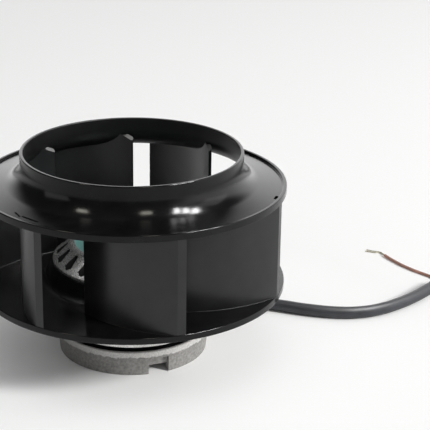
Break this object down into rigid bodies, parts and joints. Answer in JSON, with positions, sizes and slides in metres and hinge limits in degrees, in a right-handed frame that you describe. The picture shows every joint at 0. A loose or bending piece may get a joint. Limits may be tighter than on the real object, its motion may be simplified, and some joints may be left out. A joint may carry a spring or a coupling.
{
  "type": "centrifugal cooling fan",
  "caption": "Backward-curved centrifugal fan wheel with a shrouded inlet collar, driven by an external-rotor motor on a round screw-down flange, with a short stripped cable.",
  "frame": {"origin": "on the spin axis, at the foot of the motor flange that the fan stands on", "axes": "+Z along the spin axis towards the air inlet; -Y is the side that the picture looks at, and the cable leaves to +X at the back"},
  "size_m": [0.333, 0.263, 0.1298],
  "materials": {
    "wheel_plastic": "moulded, semi-gloss black",
    "rotor_casting": "die cast and blasted",
    "label_film": "blank printed film, satin",
    "flange_casting": "die cast, rough, edge machined bright",
    "lamination_steel": "stamped and stacked",
    "cage_aluminium": "cast",
    "shaft_steel": "ground",
    "spring_steel": "hardened, dark",
    "bearing_steel": "polished",
    "shield_steel": "pressed",
    "cage_brass": "pressed",
    "winding_copper": "enamelled wire, dipped",
    "insulation": "moulded",
    "bush_rubber": "matt",
    "tie_nylon": "moulded",
    "earth_brass": "turned",
    "earth_tin": "tinned",
    "sheath_pvc": "extruded, satin",
    "core_brown_pvc": "extruded, satin",
    "core_blue_pvc": "extruded, satin",
    "core_earth_pvc": "extruded, satin, green with yellow",
    "strand_copper": "tinned strands"
  },
  "bodies": {
    "base": {"motor_flange": "flange_casting", "stator_core": "lamination_steel", "preload_washer": "spring_steel", "upper_bearing_outer": "bearing_steel", "lower_bearing_outer": "bearing_steel", "upper_bearing_shields": "shield_steel", "lower_bearing_shields": "shield_steel", "dust_cap": "shield_steel", "stator_winding": "winding_copper", "upper_end_plate": "insulation", "lower_end_plate": "insulation", "thermal_cutout": "insulation", "cable_bush": "bush_rubber", "cable_tie": "tie_nylon", "earth_screw": "earth_brass", "earth_lug": "earth_tin", "cable_sheath": "sheath_pvc", "core_brown": "core_brown_pvc", "lead_brown": "core_brown_pvc", "core_blue": "core_blue_pvc", "lead_blue": "core_blue_pvc", "core_earth": "core_earth_pvc", "lead_earth": "core_earth_pvc", "strands_brown": "strand_copper", "strands_blue": "strand_copper", "strands_earth": "strand_copper"},
    "rotor": {"inlet_shroud": "wheel_plastic", "back_plate": "wheel_plastic", "blade_1": "wheel_plastic", "blade_2": "wheel_plastic", "blade_3": "wheel_plastic", "blade_4": "wheel_plastic", "blade_5": "wheel_plastic", "blade_6": "wheel_plastic", "blade_7": "wheel_plastic", "rotor_cup": "rotor_casting", "rotor_core": "lamination_steel", "rotor_cage": "cage_aluminium", "rotor_label": "label_film", "shaft": "shaft_steel", "shaft_clip": "spring_steel", "upper_bearing_inner": "bearing_steel", "lower_bearing_inner": "bearing_steel"},
    "upper_ball_set": {"upper_bearing_balls": "bearing_steel", "upper_bearing_cage": "cage_brass"},
    "lower_ball_set": {"lower_bearing_balls": "bearing_steel", "lower_bearing_cage": "cage_brass"}
  },
  "joints": [
    {"name": "rotor_spin", "type": "hinge", "parent": "base", "child": "rotor", "pos_m": [0, 0, 0.045], "axis": [0, 0, 1], "continuous": true},
    {"name": "upper_balls_spin", "type": "hinge", "parent": "base", "child": "upper_ball_set", "pos_m": [0, 0, 0.0505], "axis": [0, 0, 1], "continuous": true},
    {"name": "lower_balls_spin", "type": "hinge", "parent": "base", "child": "lower_ball_set", "pos_m": [0, 0, 0.0175], "axis": [0, 0, 1], "continuous": true}
  ],
  "couplings": [
    {"joint": "upper_balls_spin", "follows": "rotor_spin", "ratio": 0.3677},
    {"joint": "lower_balls_spin", "follows": "rotor_spin", "ratio": 0.3677}
  ]
}
